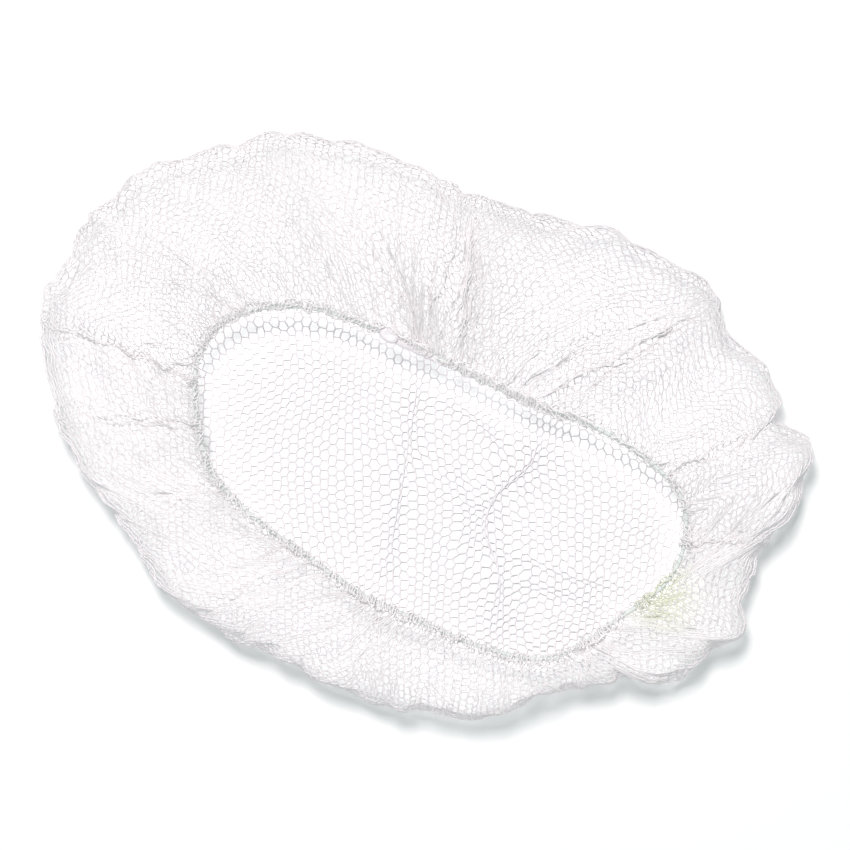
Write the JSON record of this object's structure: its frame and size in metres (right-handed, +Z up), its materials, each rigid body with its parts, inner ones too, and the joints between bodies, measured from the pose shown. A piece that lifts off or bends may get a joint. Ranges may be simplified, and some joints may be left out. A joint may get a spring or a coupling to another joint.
{
  "type": "disposable hairnet",
  "caption": "Disposable mesh hairnet lying crown down, a puffy net cap that turns in over itself and is gathered on an oval elastic rim.",
  "frame": {"origin": "on the floor, below the middle of the outline's box", "axes": "+X along the longer side of the oval outline, +Y towards the wider side of the puff, +Z up out of the head opening"},
  "size_m": [0.2724, 0.1904, 0.0379],
  "materials": {
    "net_cloth": "fine white nylon honeycomb net, slightly glossy filament",
    "covered_elastic": "white covered elastic cord, matte",
    "sealed_end": "heat-sealed nylon end, satin"
  },
  "bodies": {
    "root": {"net": "net_cloth", "elastic_band": "covered_elastic", "elastic_knot": "sealed_end"}
  },
  "joints": []
}
